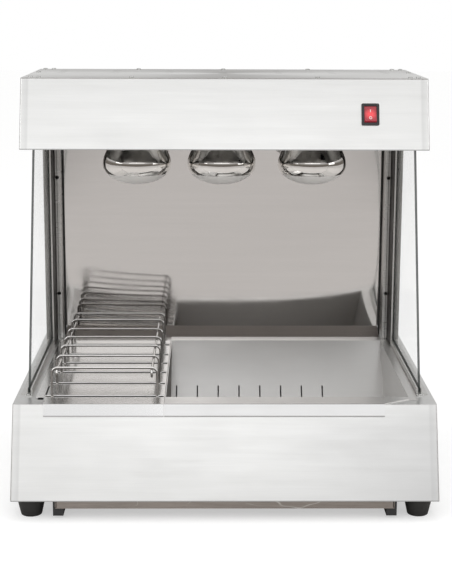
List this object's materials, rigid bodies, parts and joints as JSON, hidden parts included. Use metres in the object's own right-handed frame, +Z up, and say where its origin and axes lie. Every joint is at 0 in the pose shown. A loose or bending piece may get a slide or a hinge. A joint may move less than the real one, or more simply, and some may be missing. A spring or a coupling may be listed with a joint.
{
  "type": "chip scuttle",
  "caption": "Countertop heated display for chips: overhead lamp hood, glass sides, lift-out slotted pan with a sloped back, lift-out wire bag rack on stepped treads and a crumb tray.",
  "frame": {"origin": "centre of the footprint, on the surface that the feet stand on", "axes": "+X to the right seen from the front, -Y out of the open front, +Z up"},
  "size_m": [0.7, 0.583, 0.7023],
  "materials": {
    "brushed_steel": "brushed along its length",
    "satin_steel": "satin, lightly scratched",
    "polished_steel": "nearly mirror polished, faint brush lines",
    "bright_wire": "electropolished wire",
    "drawn_aluminium": "anodised, drawn lines",
    "clear_glass": "clear, green at the edges",
    "black_rubber": "matte moulded",
    "black_steel": "black powder coat",
    "screw_steel": "bright zinc",
    "lamp_mirror": "silvered glass",
    "lamp_cap": "dull brass",
    "white_ceramic": "glazed ceramic",
    "black_plastic": "fine textured",
    "red_lens": "translucent, lit from inside",
    "pale_plastic": "moulded"
  },
  "bodies": {
    "cabinet": {"base_wrap": "brushed_steel", "base_floor": "brushed_steel", "base_rear_panel": "brushed_steel", "rear_panel_screws": "screw_steel", "foot_front_left": "black_rubber", "foot_front_right": "black_rubber", "foot_rear_left": "black_rubber", "foot_rear_right": "black_rubber", "foot_bolts": "screw_steel", "runner_left": "black_steel", "runner_right": "black_steel", "runner_screws": "screw_steel", "glass_channel_left": "drawn_aluminium", "glass_channel_right": "drawn_aluminium", "side_glass_left": "clear_glass", "side_glass_right": "clear_glass", "glass_clip_left": "brushed_steel", "glass_clip_right": "brushed_steel", "clip_screws": "screw_steel", "upright_left": "drawn_aluminium", "upright_right": "drawn_aluminium", "upright_base_screws": "screw_steel", "panel_seal_left": "black_rubber", "panel_seal_right": "black_rubber", "back_panel": "polished_steel", "back_panel_screws": "screw_steel", "hood_wrap": "brushed_steel", "hood_roof": "brushed_steel", "roof_screws": "screw_steel", "hood_rear_panel": "brushed_steel", "hood_rear_screws": "screw_steel", "lamp_rail": "satin_steel", "lamp_holder_left": "white_ceramic", "lamp_holder_centre": "white_ceramic", "lamp_holder_right": "white_ceramic", "lamp_cap_left": "lamp_cap", "lamp_cap_centre": "lamp_cap", "lamp_cap_right": "lamp_cap", "lamp_bulb_left": "lamp_mirror", "lamp_bulb_centre": "lamp_mirror", "lamp_bulb_right": "lamp_mirror", "switch_housing": "black_plastic", "cable_gland": "black_plastic", "terminal_block": "pale_plastic"},
    "crumb_tray": {"crumb_tray": "satin_steel"},
    "chip_pan": {"chip_pan": "satin_steel"},
    "bag_rack": {"rack_tray": "satin_steel", "rack_arch_1": "bright_wire", "rack_arch_2": "bright_wire", "rack_arch_3": "bright_wire", "rack_arch_4": "bright_wire", "rack_arch_5": "bright_wire", "rack_arch_6": "bright_wire", "rack_arch_7": "bright_wire", "rack_rod_left": "bright_wire", "rack_rod_right": "bright_wire"},
    "switch_rocker": {"switch_rocker": "red_lens"}
  },
  "joints": [
    {"name": "rocker_tilt", "type": "hinge", "parent": "cabinet", "child": "switch_rocker", "pos_m": [0.249, -0.04564, 0.63969], "axis": [1, 0, 0], "range_deg": [0, 18]},
    {"name": "crumb_tray_slide", "type": "slide", "parent": "cabinet", "child": "crumb_tray", "axis": [0, -1, 0], "range_m": [0, 0.4]},
    {"name": "chip_pan_lift", "type": "slide", "parent": "cabinet", "child": "chip_pan", "axis": [0, 0, 1], "range_m": [0, 0.18]},
    {"name": "bag_rack_lift", "type": "slide", "parent": "cabinet", "child": "bag_rack", "axis": [0, 0, 1], "range_m": [0, 0.18]}
  ]
}
